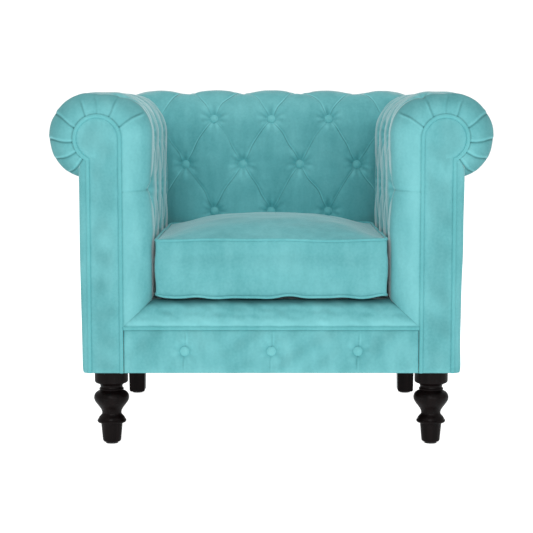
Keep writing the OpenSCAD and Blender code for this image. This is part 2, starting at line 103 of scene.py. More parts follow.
PITCH = 0.148
RISE = 0.122
ARM_S0 = 0.458
ARM_T0 = TURN_Y + 0.026
BACK_S0 = 0.498
BUTTON_R = 0.0105
PIT_DEPTH = 0.0163
VALLEY = 0.0050
CREASE = 0.0042
CREASE_WIDTH = 0.0045
CROWN = 0.0030
PLEAT_BOW = 0.0055
WANDER, WANDER_SPAN = 0.0026, 0.09
FLAP_RISE, FLAP_PLACE, FLAP_WIDTH = 0.0009, 0.0068, 0.0045
PIT_WIDTH = 0.0105
WRINKLE_RISE, WRINKLE_R, WRINKLE_WIDTH = 0.00055, 0.024, 0.012
SEAM_DEPTH = 0.003
EDGE_RISE = 0.0028
PIPING_GAP = 0.0015
COVER_T = 0.0295
EDGE_T = 0.012
UNDER_ROLL = 0.011
PIPING_R = 0.0032


# ---------- small maths ----------


def smooth(x):
    x = np.clip(x, 0, 1)
    return x * x * (3 - 2 * x)


def mix(a, b, w):
    return a + (b - a) * w


def bell(x, centre, width):
    return np.exp(-(((x - centre) / width) ** 2))


def fade(distance, width):
    """Falls from 1 where the distance is 0."""
    return np.exp(-distance / width)


def waves(rng, u, v, scale, count=9):
    """A gentle field of random waves between about -1 and 1."""
    total = np.zeros(np.broadcast(u, v).shape)
    for _ in range(count):
        a = rng.uniform(0, 2 * PI)
        k = 2 * PI / scale * rng.uniform(0.5, 1.6)
        total += np.sin(k * (np.cos(a) * u + np.sin(a) * v) + rng.uniform(0, 2 * PI))
    return total / np.sqrt(count) / 1.4


def padding(s, face, edge, roll_z):
    """Depth, height and outward lean of the padding, at a length s up from the floor."""
    flat = edge - face - 2 * ROLL_R
    over = s - roll_z - ROLL_R * PI / 2
    lean = np.clip((s - roll_z) / ROLL_R, 0, PI / 2) + np.clip((over - flat) / ROLL_R, 0, None)
    depth = face + ROLL_R * (1 - np.cos(lean)) + np.clip(over, 0, flat)
    height = np.where(s < roll_z, s, roll_z + ROLL_R * np.sin(lean))
    return depth, height, lean


def padding_end(edge, wall, face, roll_z):
    """The length s at which the roll's underside meets the outside of the wall."""
    lean = 2 * PI - np.arccos((edge - ROLL_R - wall) / ROLL_R)
    return roll_z + edge - face - 2 * ROLL_R + ROLL_R * lean


def normals(p, sign):
    n = np.cross(np.gradient(p, axis=0), np.gradient(p, axis=1))
    return sign * n / np.maximum(np.linalg.norm(n, axis=2, keepdims=True), 1e-12)


# ---------- meshes ----------

STEP = 4


def new_piece(name, points, faces, material, body, nap_and_painted_light=None, pleats=None):
    """A smooth mesh on a body. Its point value from -1 to 1 holds pressed nap and painted
    highlights above 0, and painted shade below 0.

    Pleats holds, for each point, its place across the two families of pleats
    (a whole number on a pleat) and how strongly they show there.
    """
    mesh = bpy.data.meshes.new(name)
    mesh.from_pydata(points.tolist(), [], faces)
    mesh.polygons.foreach_set("use_smooth", [True] * len(faces))
    mesh.materials.append(material)
    if nap_and_painted_light is not None:
        made = mesh.attributes.new("nap_and_painted_light", "FLOAT", "POINT")
        made.data.foreach_set("value", nap_and_painted_light.astype(np.float32))
    if pleats is not None:
        made = mesh.attributes.new("pleats", "FLOAT_VECTOR", "POINT")
        made.data.foreach_set("vector", pleats.astype(np.float32).ravel())
    piece = bpy.data.objects.new(name, mesh)
    bpy.context.scene.collection.objects.link(piece)
    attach(piece, body)
    return piece


def volume(p, quads):
    a, b, c, d = (p[quads[:, i]] for i in range(4))
    return (np.cross(a, b) * c).sum() + (np.cross(a, c) * d).sum()


def closed_skin(name, front, back, material, nap_and_painted_light=None, pleats=None, body="chair"):
    """A closed skin between two grids of points. Its hidden side is STEP times coarser."""
    rows, cols = front.shape[:2]
    far = rows * cols
    fine = np.arange(far).reshape(rows, cols)
    back = back[::STEP, ::STEP]
    coarse = far + np.arange(back.shape[0] * back.shape[1]).reshape(back.shape[:2])
    outer = quads_of(fine)
    flip = volume(front.reshape(-1, 3), outer) < volume(back.reshape(-1, 3), quads_of(coarse - far))
    faces = outer.tolist() + quads_of(coarse)[:, ::-1].tolist()
    rim, hem = border_of(fine), border_of(coarse)
    for i in range(len(hem)):
        way = [rim[(i * STEP + k) % len(rim)] for k in range(STEP + 1)]
        faces.append([hem[i], *way, hem[(i + 1) % len(hem)]])
    if flip:
        faces = [face[::-1] for face in faces]
    points = np.concatenate([front.reshape(-1, 3), back.reshape(-1, 3)])
    if nap_and_painted_light is not None:
        lies = (nap_and_painted_light + 0 * front[..., 0]).ravel()
        nap_and_painted_light = np.concatenate([lies, np.zeros(len(points) - len(lies))])
    if pleats is not None:
        hidden = np.zeros((len(points) - front.shape[0] * front.shape[1], 3))
        pleats = np.concatenate([pleats.reshape(-1, 3), hidden])
    return new_piece(name, points, faces, material, body, nap_and_painted_light, pleats)


def quads_of(index):
    corners = index[:-1, :-1], index[1:, :-1], index[1:, 1:], index[:-1, 1:]
    return np.stack(corners, 2).reshape(-1, 4)


def border_of(index):
    sides = index[0, :-1], index[:-1, -1], index[-1, :0:-1], index[:0:-1, 0]
    return np.concatenate(sides).tolist()


def tube(name, path, radius, material, body, closed=True, sides=12):
    """A round cord along a path of points, with its ends capped where it is open."""
    if closed:
        way = np.roll(path, -1, 0) - np.roll(path, 1, 0)
    else:
        way = np.gradient(path, axis=0)
    way /= np.linalg.norm(way, axis=1, keepdims=True)
    up = np.cross(way, np.broadcast_to([0.0, 0.0, 1.0], way.shape))
    up /= np.maximum(np.linalg.norm(up, axis=1, keepdims=True), 1e-9)
    side = np.cross(way, up)
    a = np.arange(sides) * 2 * PI / sides
    rings = path[:, None] + radius * (
        np.cos(a)[None, :, None] * up[:, None] + np.sin(a)[None, :, None] * side[:, None]
    )
    n = len(path)
    faces = []
    for i in range(n if closed else n - 1):
        for k in range(sides):
            j, m = (i + 1) % n, (k + 1) % sides
            faces.append([i * sides + k, i * sides + m, j * sides + m, j * sides + k])
    if not closed:
        faces += [list(range(sides)), [(n - 1) * sides + k for k in range(sides)][::-1]]
    return new_piece(name, rings.reshape(-1, 3), faces, material, body)


# ---------- the buttoned padding ----------


def tufting(s, t, rows, first_t, last_t, rng):
    """How far the padding stands out at (s, t), how its nap lies with painted highlights on the
    wrinkles round the buttons, and its pleats.
    """
    s0, s1 = rows[0][0], rows[-1][0]
    row_b, t0 = rows[1][0], rows[1][1][0]
    bow = PLEAT_BOW * np.sin(PI * (s - s0) / RISE) ** 2 * (s < s1)
    in_s = np.clip(s - bow + WANDER * waves(rng, s, t, WANDER_SPAN), s0, s1)
    in_t = np.clip(t + WANDER * waves(rng, s, t, WANDER_SPAN), first_t, last_t)
    a = (in_t - t0) / PITCH + (in_s - row_b) / (2 * RISE)
    b = (in_t - t0) / PITCH - (in_s - row_b) / (2 * RISE)
    pillow = np.sqrt(np.abs(np.sin(PI * a)) * np.abs(np.sin(PI * b)))
    across = 1 / np.hypot(1 / PITCH, 1 / (2 * RISE))
    beyond = np.abs(s - in_s) > RISE / 4
    flaps = 0
    for value, sign in ((a, 1), (b, -1)):
        gap = (value - np.round(value)) * np.where(beyond, PITCH, across) * sign
        line = fade(np.sqrt(gap**2 + 0.002**2), CREASE_WIDTH)
        flaps = flaps - CREASE * line + FLAP_RISE * bell(gap, FLAP_PLACE, FLAP_WIDTH)
    # over the roll the dips widen, and in front of its first button no pleat is drawn
    straight = np.abs(np.sin(PI * (s - row_b) / (2 * RISE)))
    ended = smooth((first_t - t) / 0.045) * (s > s1)
    over = smooth((s - s1) / 0.06)
    pillow = mix(mix(pillow, pillow**2, over), straight, ended)
    show = (1 - ended) * np.clip(0.75 + 0.45 * waves(rng, s, t, 0.11), 0.15, 1)
    stand = CROWN - VALLEY * (1 + 0.7 * over) * (1 - pillow) + flaps * show
    nap_and_painted_light = 0 * stand
    floor = CROWN - VALLEY - 2 * CREASE
    for row_s, row_t in rows:
        for button_t in row_t:
            away = np.hypot(s - row_s, t - button_t)
            turn = np.arctan2(s - row_s, t - button_t)
            pit = np.exp(-((np.maximum(away - BUTTON_R - 0.001, 0) / PIT_WIDTH) ** 1.15))
            stand = mix(stand, np.minimum(stand, floor), pit)
            stand -= (PIT_DEPTH + floor) * pit * rng.uniform(0.96, 1.0)
            folds = np.cos(rng.integers(9, 12) * turn + rng.uniform(0, 2 * PI))
            folds += 0.7 * np.cos(rng.integers(5, 8) * turn + rng.uniform(0, 2 * PI))
            ring = bell(away, WRINKLE_R, WRINKLE_WIDTH)
            stand += WRINKLE_RISE * folds * ring
            # pressed nap and painted highlights on the wrinkles round each button
            nap_and_painted_light = nap_and_painted_light * (1 - pit) + (0.22 * np.clip(folds, -1, 1.5) + 0.14) * ring
            show = show * (1 - pit)
    stand += 0.0012 * waves(rng, s, t, 0.16) + 0.00035 * waves(rng, s, t, 0.040)
    return stand, np.clip(nap_and_painted_light, -1, 1), np.stack([a, -b, show + 0 * a], 2)


def beside_cushion(stand, s):
    """The padding is held flat where the seat cushion presses on it."""
    return mix(np.minimum(stand, -0.0005), stand, smooth((s - SEAT_HIGH.z + 0.06) / 0.05))


def arm_rows():
    odd = [ARM_T0 + j * PITCH for j in range(4)]
    even = [ARM_T0 + (j + 0.5) * PITCH for j in range(3)]
    return [(ARM_S0 + i * RISE, odd if i % 2 else even) for i in range(4)]


def back_rows():
    odd = [(j - 1.5) * PITCH for j in range(4)]
    even = [(j - 1) * PITCH for j in range(3)]
    return [(BACK_S0 + i * RISE, odd if i % 2 else even) for i in range(4)]


def facing_edge(s, s_end, grow):
    """Where the padded edge meets the facing's piping, for each length s up the arm."""
    turn = PI - (PI - NECK) * (s - ARM_ROLL_Z) / (s_end - ARM_ROLL_Z)
    drop = (DECK_Z - LIP_Z) * (1 - smooth((s - DECK_Z) / 0.11))
    low_z = s - drop - (ARM_ROLL_Z - HEAD_Z) * smooth((s - 0.55) / 0.15)
    on_head = s > ARM_ROLL_Z
    x = np.where(on_head, HEAD_X + (HEAD_R + grow) * np.cos(turn), FACING_IN - grow)
    z = np.where(on_head, HEAD_Z + (HEAD_R + grow) * np.sin(turn), low_z)
    return x, z


# The folds gathered round the facing's head: the angle of each from the inner side,
# its depth in metres, and how far out from the piping it starts (0 is the widest).
HEAD_FOLDS = np.radians([27, 61, 90, 116, 153, 187, 213, 236])
FOLD_DEPTHS = [0.0030, 0.0020, 0.0008, 0.0022, 0.0030, 0.0034, 0.0032, 0.0032]
FOLD_REACHES = [0.10, 0.35, 0.20, 0.40, 0.00, 0.00, 0.02, 0.05]
FOLD_WIDTH = 0.0030


def gathered_edge(s, v, stand, nap_and_painted_light, s_end):
    """The padded edge round the facing: fuller, with its folds gathered at the piping.

    v runs from 0 where the edge turns forward to 1 at the piping. Returns how far
    the edge stands out, and its nap with painted highlights and painted shade.
    """
    angle = (s - ARM_ROLL_Z) / (s_end - ARM_ROLL_Z) * (PI - NECK)
    fuller = mix(0.0030, -0.0010, smooth(angle / 1.2))
    edge = stand * (1 - smooth(v / 0.8)) + fuller * np.sin(PI * v) ** 0.8 * (v > 0)
    gather = smooth(v / 0.25) * smooth((s - 0.62) / 0.08)
    around = np.abs(np.sin(PI * np.interp(angle, HEAD_FOLDS, np.arange(len(HEAD_FOLDS)), 0, 0)))
    edge += gather * (0.0014 * np.sqrt(around) - 0.0010)
    edge_nap_and_painted_light = nap_and_painted_light * (1 - smooth(v / 0.6))
    local_r = mix(ROLL_R, HEAD_R, v)
    for k, (fold, depth_k, reach) in enumerate(zip(HEAD_FOLDS, FOLD_DEPTHS, FOLD_REACHES)):
        bend = 0.10 * (1 - v) * (1 if fold > PI / 2 else -0.4)
        off = (angle + bend + 0.02 * np.sin(7 * v + k) - fold) * local_r
        deep = smooth((v - reach) / 0.30)
        edge -= depth_k * deep * fade(np.abs(off), FOLD_WIDTH)
        edge += 0.45 * depth_k * deep * bell(off, -0.0055, 0.0045)
        strong = deep * depth_k / 0.0040
        # a painted highlight beside each fold and a painted shade in it
        edge_nap_and_painted_light += strong * 0.55 * bell(off, -0.0030, 0.0022)
        edge_nap_and_painted_light -= strong * 0.8 * bell(off, 0.0008, 0.0016)
    tuck = s - arm_rows()[1][0] + 0.004 * v
    edge -= 0.0022 * fade(np.abs(tuck), FOLD_WIDTH) * smooth(v / 0.2)
    # painted shade in the tuck at the second row
    edge_nap_and_painted_light -= 0.30 * bell(tuck, 0, 0.0016) * smooth(v / 0.2)
    # painted highlight towards the piping, painted shade in the seam at it, low on the edge and
    # over the head
    edge_nap_and_painted_light += 0.35 * smooth((v - 0.45) / 0.45) - 0.9 * smooth((v - 0.95) / 0.05)
    edge_nap_and_painted_light -= 0.18 * bell(v, 0.05, 0.25) + 0.36 * smooth((s - ARM_ROLL_Z) / 0.08)
    return edge, edge_nap_and_painted_light


def arm_skin(side, velvet):
    """The inside arm, its roll and the edge that turns round the front, in one skin."""
    rng = np.random.default_rng(11 if side > 0 else 23)
    s_end = padding_end(ARM_EDGE, ARM_OUT, SEAT_X, ARM_ROLL_Z)
    s = np.linspace(DECK_Z, s_end, 357)[:, None]
    depth, height, lean = padding(s, SEAT_X, ARM_EDGE, ARM_ROLL_Z)
    mitre_y = depth + SEAM_DEPTH * np.cos(lean) - MITRE
    along = np.linspace(0, 1, 184)[None, :] ** 0.92
    wall_y = mix(mitre_y, TURN_Y, along)
    wall = np.stack([depth + 0 * wall_y, wall_y, height + 0 * wall_y], 2)
    turn = np.linspace(0, PI / 2, 38)[None, 1:]
    edge_x, edge_z = facing_edge(s, s_end, EDGE_RISE)
    across = 1 - np.cos(turn)
    front = np.stack(
        [
            mix(depth, edge_x, across),
            TURN_Y + (WELT_Y - PIPING_GAP - TURN_Y) * np.sin(turn) + 0 * s,
            mix(height, edge_z, across),
        ],
        2,
    )
    base = np.concatenate([wall, front], 1)
    out = normals(base, 1)
    if (out[:, 0] * np.array([-1, 0, 0])).sum() < 0:
        out = -out
    v = np.concatenate([np.zeros((1, wall.shape[1])), turn / (PI / 2)], 1)
    t = np.concatenate([wall_y, TURN_Y - 0.075 * turn / (PI / 2) + 0 * s], 1)
    stand, nap_and_painted_light, pleats = tufting(s, t, arm_rows(), ARM_T0, 1.0, rng)
    pleats[..., 2] *= (1 - smooth(v / 0.4)) * smooth((t - mitre_y) / -0.012)
    stand -= 0.0013 * smooth(lean - 0.6) + 0.0042 * bell(lean, 2.36, 0.55)
    behind = np.maximum(s - (ARM_ROLL_Z + ROLL_R * PI / 2 + 0.10), 0)
    stand *= 1 - 0.55 * smooth(behind / 0.16)
    stand = beside_cushion(stand, s)
    stand = mix(stand, -SEAM_DEPTH, 1 - smooth((t - mitre_y) / -0.020))
    edge, edge_nap_and_painted_light = gathered_edge(s, v, stand, nap_and_painted_light, s_end)
    stand = np.where(v > 0, edge, stand)
    nap_and_painted_light = np.clip(np.where(v > 0, edge_nap_and_painted_light, nap_and_painted_light), -1, 1)
    stand = stand * smooth((s - DECK_Z) / 0.03 + (v == 0))
    points = base + out * stand[:, :, None]
    inner = base - out * mix(COVER_T, EDGE_T, smooth(v * 1.5))[:, :, None]
    for grid in (points, inner):
        grid[:, :, 0] *= side
    name = "right" if side > 0 else "left"
    piece = closed_skin(f"arm_upholstery_{name}", points, inner, velvet, nap_and_painted_light, pleats)
    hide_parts(f"arm_cover_{name}", f"arm_border_{name}")
    return piece


def back_skin(velvet):
    """The buttoned inside back and its roll, mitred to the arms."""
    rng = np.random.default_rng(5)
    s_end = padding_end(BACK_EDGE, BACK_OUT, BACK_Y, BACK_ROLL_Z)
    s = np.linspace(BACK_LOW.z + 0.01, s_end, 305)[:, None]
    depth, height, lean = padding(s, BACK_Y, BACK_EDGE, BACK_ROLL_Z)
    limit = depth + SEAM_DEPTH * np.cos(lean) + MITRE
    u = np.linspace(-1, 1, 297)[None, :]
    x = u * limit
    near_corner = smooth((np.abs(x) - limit + 0.16) / 0.16)
    in_corner = smooth((np.abs(x) - limit + 0.08) / 0.08)
    z = height - (BACK_ROLL_Z - ARM_ROLL_Z) * in_corner * smooth((s - 0.5) / 0.2)
    base = np.stack([x, depth + 0 * x, z], 2)
    out = normals(base, 1)
    out *= np.where((out[0] * np.array([0, -1, 0])).sum() < 0, -1, 1)
    stand, nap_and_painted_light, pleats = tufting(s, x, back_rows(), -1.0, 1.0, rng)
    pleats[..., 2] *= smooth((limit - np.abs(x)) / 0.012)
    # painted shade in the lower corners beside the arms
    nap_and_painted_light -= 0.30 * smooth((np.abs(x) - limit + 0.10) / 0.10) * smooth((0.70 - s) / 0.16)
    stand = beside_cushion(stand, s)
    behind = np.maximum(s - (BACK_ROLL_Z + ROLL_R * PI / 2 + 0.10), 0)
    stand *= 1 - 0.55 * smooth(behind / 0.16)
    stand = mix(stand, -SEAM_DEPTH, 1 - smooth((limit - np.abs(x)) / 0.025))
    flat_out = np.stack([0 * x, -np.cos(lean) + 0 * x, np.sin(lean) + 0 * x], 2)
    out = mix(out, flat_out, near_corner[:, :, None])
    points = base + out * stand[:, :, None]
    inner = base - flat_out * COVER_T
    piece = closed_skin("back_upholstery", points, inner, velvet, nap_and_painted_light, pleats)
    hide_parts("back_cover")
    return piece


# ---------- front ----------


def seat_lip(velvet):
    """The padded lip under the cushion, mitred into the arms' edges."""
    rng = np.random.default_rng(31)
    u = np.linspace(-1, 1, 241)[None, :]
    turn = np.linspace(0, PI / 2, 37)[:, None]
    across = 1 - np.cos(turn)
    x = u * mix(SEAT_X, FACING_IN - EDGE_RISE, across)
    y = TURN_Y + (WELT_Y - PIPING_GAP - TURN_Y) * np.sin(turn)
    z = mix(DECK_Z, LIP_Z + EDGE_RISE, across)
    base = np.stack([x, y + 0 * x, z + 0 * x], 2)
    out = normals(base, 1)
    out *= np.where(out[..., 2].sum() < 0, -1, 1)
    ends = smooth((1 - np.abs(u)) / 0.06)
    stand = 0.0030 * np.sin(turn * 2) ** 0.8 * ends
    stand = stand + 0.0009 * waves(rng, x, 3 * z, 0.11) * ends * np.sin(turn * 2)
    points = base + out * stand[:, :, None]
    mitre = np.exp(-((1 - np.abs(u)) * FACING_IN / 0.003) + 0 * turn)
    turned = turn / (PI / 2)
    # a painted highlight on the lower band, painted shade at the piping seam and at the mitres; the
    # waves are random tone
    nap_and_painted_light = 0.6 * smooth((turned - 0.70) / 0.25) - 0.9 * smooth((turned - 0.95) / 0.05)
    nap_and_painted_light = nap_and_painted_light - 0.5 * mitre
    nap_and_painted_light = nap_and_painted_light + 0.15 * waves(rng, x, 3 * z, 0.05)
    # painted shadow where the cushion overhangs the lip
    nap_and_painted_light = nap_and_painted_light - 1.0 * (1 - smooth((turn - 0.40) / 0.45))
    piece = closed_skin("seat_lip", points, base - out * EDGE_T, velvet, nap_and_painted_light)
    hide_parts("front_border")
    return piece


def dome(distance, radius):
    """Rises from 0 at an edge to 1, like the side of a stuffed panel."""
    rest = 1 - np.clip(distance / radius, 0, 1)
    return np.sqrt(np.clip(1 - rest * rest, 0, 1))


PANEL_PAD, PANEL_PIT, PANEL_PIT_WIDTH = 0.0055, 0.0085, 0.011
PANEL_PLEAT, PANEL_PLEAT_WIDTH, PANEL_PLEAT_REACH = 0.0020, 0.0030, 0.036


def front_panel(velvet):
    """The rail panel, with three buttons and the pleats above and below each."""
    rng = np.random.default_rng(41)
    x = np.linspace(PANEL_LOW.x + 0.001, PANEL_HIGH.x - 0.001, 401)[None, :]
    z = np.linspace(PANEL_LOW.z, PANEL_HIGH.z, 81)[:, None]
    button_z = (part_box("front_buttons")[0].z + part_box("front_buttons")[1].z) / 2
    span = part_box("front_buttons")[1].x - 0.0105
    side = np.minimum(x - PANEL_LOW.x, PANEL_HIGH.x - x)
    edge = np.minimum(side, np.minimum(z - PANEL_LOW.z + 0.0015, PANEL_HIGH.z - z + 0.002))
    stand = PANEL_PAD * dome(edge, 0.012) + 0.0006 * waves(rng, x, z, 0.09)
    # a painted highlight inside the edge, painted shade at the seam and under the piping; the waves
    # are random tone
    nap_and_painted_light = 0.50 * fade(edge, 0.008) - 0.9 * fade(edge, 0.0022)
    nap_and_painted_light = nap_and_painted_light - 0.35 * fade(PANEL_HIGH.z - z, 0.014) + 0.14 * waves(rng, x, z, 0.06)
    for button_x in (-span, 0, span):
        across, up = x - button_x, z - button_z
        away = np.hypot(across, up)
        turn = np.arctan2(up, across)
        pit = np.exp(-((np.maximum(away - BUTTON_R - 0.001, 0) / PANEL_PIT_WIDTH) ** 1.2))
        stand = stand - PANEL_PIT * pit - 0.0014 * bell(away, 0, 0.045)
        gap = across - 0.0025 * np.sin(45 * up)
        length = np.exp(-((up / PANEL_PLEAT_REACH) ** 4))
        stand = stand - PANEL_PLEAT * fade(np.abs(gap), PANEL_PLEAT_WIDTH) * length
        stand = stand + 0.0008 * bell(gap, 0.0050, 0.0040) * length
        folds = np.cos(7 * turn + rng.uniform(0, 2 * PI))
        folds = folds + np.cos(4 * turn + rng.uniform(0, 2 * PI))
        ring = bell(away, 0.021, 0.010)
        stand = stand + 0.0003 * folds * ring
        # painted highlight beside each pleat and painted shade in it; pressed nap and painted
        # highlight on the wrinkles round the button
        nap_and_painted_light = nap_and_painted_light + 0.6 * bell(gap, 0.0026, 0.0020) * length
        nap_and_painted_light = nap_and_painted_light - 0.6 * bell(gap, -0.0006, 0.0016) * length
        nap_and_painted_light = nap_and_painted_light * (1 - pit) + (0.08 * folds + 0.10) * ring
    y = FRONT_Y + 0.0045 - stand
    points = np.stack([x + 0 * y, y, z + 0 * y], 2)
    inner = points.copy()
    inner[:, :, 1] = PANEL_HIGH.y
    piece = closed_skin("front_rail_cover", points, inner, velvet, np.clip(nap_and_painted_light, -1, 1))
    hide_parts("front_panel")
    return piece


def facing(side, velvet):
    """The keyhole facing: a thin stuffed board inside its ring of piping."""
    rng = np.random.default_rng(51 if side > 0 else 57)
    shrink, pad = 0.0025, 0.0060
    r = HEAD_R - shrink
    lower = np.linspace(BODY_Z, HEAD_Z, 150)
    upper = HEAD_Z + r * np.sin(np.linspace(0, PI / 2 - 0.02, 40))[1:]
    z = np.concatenate([lower, upper])[:, None]
    half = np.sqrt(np.maximum(r * r - (z - HEAD_Z) ** 2, 0))
    left = np.where(z < HEAD_Z, FACING_IN + shrink, HEAD_X - half)
    right = np.where(z < NECK_Z, STEM_OUT - shrink, HEAD_X + half)
    u = np.linspace(0, 1, 45)[None, :]
    x = mix(left, right, 0.5 - 0.5 * np.cos(PI * u))
    side_gap = np.minimum(x - left, right - x)
    on_head = (z > HEAD_Z) | ((z > NECK_Z) & (x > HEAD_X))
    head_gap = np.where(on_head, r - np.hypot(x - HEAD_X, z - HEAD_Z), 1)
    edge = np.minimum(np.minimum(side_gap, head_gap), z - BODY_Z + 0.002)
    stand = pad * dome(edge + 0.0004, 0.015) + 0.0007 * waves(rng, x, z, 0.10)
    # a painted highlight inside the edge and painted shade at the piping, the whole facing a little
    # darker; the waves are random tone
    nap_and_painted_light = 0.55 * fade(edge, 0.007) - 0.9 * fade(edge, 0.0018) - 0.15
    nap_and_painted_light = nap_and_painted_light + 0.14 * waves(rng, x, z, 0.07)
    y = FRONT_Y + 0.0050 - stand
    points = np.stack([x, y, z + 0 * x], 2)
    inner = points.copy()
    inner[:, :, 1] = FACING_HIGH.y
    for grid in (points, inner):
        grid[:, :, 0] *= side
    name = "right" if side > 0 else "left"
    piece = closed_skin(f"facing_{name}", points, inner, velvet, nap_and_painted_light)
    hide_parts(f"arm_panel_{name}")
    return piece


def outside_arm(side, velvet):
    """The outside arm, which starts at the facing's piping and turns the corner."""
    rng = np.random.default_rng(61 if side > 0 else 67)
    r = 0.014
    start = np.array([STEM_OUT + 0.003, WELT_Y])
    quarter = np.linspace(0, PI / 2, 9)
    corner = np.stack(
        [ARM_OUT - r + r * np.sin(quarter), WELT_Y + r - r * np.cos(quarter)], 1
    )
    run = np.linspace(corner[-1, 1], BACK_OUT - 0.003, 152)[1:]
    path = np.concatenate([[start], corner, np.stack([run * 0 + ARM_OUT, run], 1)])
    turned = np.clip((TURN_Y - path[:, 1]) / (TURN_Y - WELT_Y), 0, 1)
    turned = 1 - np.sqrt(1 - turned**2)
    top = mix(OUTSIDE_HIGH.z + UNDER_ROLL, NECK_Z + 0.006, turned)[None]
    z = mix(BODY_Z, top, np.linspace(0, 1, 101)[:, None])
    x, y = path[None, :, 0] + 0 * z, path[None, :, 1] + 0 * z
    base = np.stack([x, y, z], 2)
    out = normals(base, 1)
    out *= np.where(out[..., 0].sum() < 0, -1, 1)
    length = np.concatenate([[0], np.cumsum(np.linalg.norm(np.diff(path, axis=0), axis=1))])
    ends = smooth(length / 0.02)[None] * smooth((length[-1] - length) / 0.03)[None]
    stand = (0.0030 * dome(z - BODY_Z + 0.001, 0.02) + 0.0014 * waves(rng, z, y, 0.22)) * ends
    stand -= 0.0045 * smooth((0.48 - z) / 0.30) * ends
    points = base + out * stand[:, :, None]
    inner = base - out * 0.0045
    for grid in (points, inner):
        grid[:, :, 0] *= side
    name = "right" if side > 0 else "left"
    piece = closed_skin(f"outside_arm_cover_{name}", points, inner, velvet)
    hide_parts(f"outside_arm_{name}")
    return piece


def outside_back(velvet):
    """The plain outside back, a little stuffed, up to the underside of the roll."""
    rng = np.random.default_rng(71)
    x = np.linspace(-ARM_OUT, ARM_OUT, 169)[None, :]
    z = np.linspace(BODY_Z, REAR_HIGH.z + UNDER_ROLL, 101)[:, None]
    edge = np.minimum(ARM_OUT - np.abs(x), z - BODY_Z)
    stand = 0.0060 * dome(edge + 0.0004, 0.016) + 0.0010 * waves(rng, x, z, 0.24)
    y = BACK_OUT - 0.004 + stand
    points = np.stack([x + 0 * y, y, z + 0 * y], 2)
    inner = points.copy()
    inner[:, :, 1] = REAR_LOW.y + 0.0005
    inner[:, :, 0] *= 0.985
    piece = closed_skin("outside_back_cover", points, inner, velvet)
    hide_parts("outside_back")
    return piece


# ---------- seat ----------


TUCK, FRONT_TUCK = 0.008, 0.004


def deck(velvet):
    """The deck under the cushion: velvet over the spring pad, tucked down all round."""
    rng = np.random.default_rng(81)
    x = np.linspace(-1, 1, 89)[None, :]
    y = np.linspace(0, 1, 89)[:, None]
    half = SEAT_X + TUCK
    px = half * x + 0 * y
    py = mix(TURN_Y - FRONT_TUCK, BACK_Y + TUCK, y) + 0 * x
    edge = np.minimum(half - np.abs(px), np.minimum(py - TURN_Y + 0.02, BACK_Y + TUCK - py))
    stand = -0.012 * (1 - dome(edge, 0.009)) + 0.0004 * (waves(rng, px, py, 0.14) - 1)
    points = np.stack([px, py, DECK_Z - 0.0008 + stand], 2)
    inner = points - np.array([0, 0, 0.003])
    piece = closed_skin("deck_cloth", points, inner, velvet)
    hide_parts("deck_cover")
    return piece


def dust_cloth(lining):
    """Black cambric tacked under the frame."""
    rng = np.random.default_rng(91)
    x = np.linspace(DUST_LOW.x, DUST_HIGH.x, 81)[None, :]
    y = np.linspace(DUST_LOW.y, DUST_HIGH.y, 69)[:, None]
    edge = np.minimum(DUST_HIGH.x - np.abs(x), np.minimum(y - DUST_LOW.y, DUST_HIGH.y - y))
    leg = np.inf
    for n in ("front_leg_left", "front_leg_right", "rear_leg_left", "rear_leg_right"):
        low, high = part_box(n)
        gap = np.maximum(np.maximum(low.x - x, x - high.x), np.maximum(low.y - y, y - high.y))
        leg = np.minimum(leg, gap)
    free = smooth(np.minimum(edge, leg) / 0.10)
    z = DUST_LOW.z + 0.0006 - 0.0030 * free + 0.0008 * waves(rng, x, y, 0.12) * free
    points = np.stack([x + 0 * z, y + 0 * z, z], 2)
    inner = points + np.array([0, 0, 0.0008])
    piece = closed_skin("dust_cloth", points, inner, lining)
    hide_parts("dust_cover")
    return piece


def cushion_block(cuts):
    """A box of square faces from -1 to 1, as points and quads."""
    made = bmesh.new()
    bmesh.ops.create_cube(made, size=2)
    bmesh.ops.subdivide_edges(made, edges=made.edges, cuts=cuts, use_grid_fill=True)
    points = np.array([v.co for v in made.verts])
    faces = [[v.index for v in f.verts] for f in made.faces]
    made.free()
    return points, faces


def inflate(piece, pressure, frames):
    """Blows the piece up as cloth and returns where its points end."""
    cloth = piece.modifiers.new("cloth", "CLOTH")
    cloth.settings.use_pressure = True
    cloth.settings.uniform_pressure_force = pressure
    cloth.settings.effector_weights.gravity = 0
    cloth.settings.quality = 5
    cloth.settings.mass = 0.3
    cloth.settings.tension_stiffness = 18
    cloth.settings.compression_stiffness = 18
    cloth.settings.shear_stiffness = 8
    cloth.settings.bending_stiffness = 0.6
    cloth.collision_settings.use_collision = False
    cloth.point_cache.frame_end = frames
    scene = bpy.context.scene
    for f in range(1, frames + 1):
        scene.frame_set(f)
    moved = piece.evaluated_get(bpy.context.evaluated_depsgraph_get()).to_mesh()
    points = np.zeros(len(moved.vertices) * 3)
    moved.vertices.foreach_get("co", points)
    piece.modifiers.remove(cloth)
    scene.frame_set(1)
    return points.reshape(-1, 3)


def evened(values, faces, rounds):
    """Values at the points of a mesh, averaged with those of their neighbours."""
    quads = np.array(faces)
    shared = np.bincount(quads.ravel(), minlength=len(values))
    for _ in range(rounds):
        total = np.bincount(quads.ravel(), np.repeat(values[quads].mean(1), 4), len(values))
        values = total / shared
    return values


def smooth_loop(path, rounds):
    for _ in range(rounds):
        path = 0.5 * path + 0.25 * (np.roll(path, 1, 0) + np.roll(path, -1, 0))
    return path


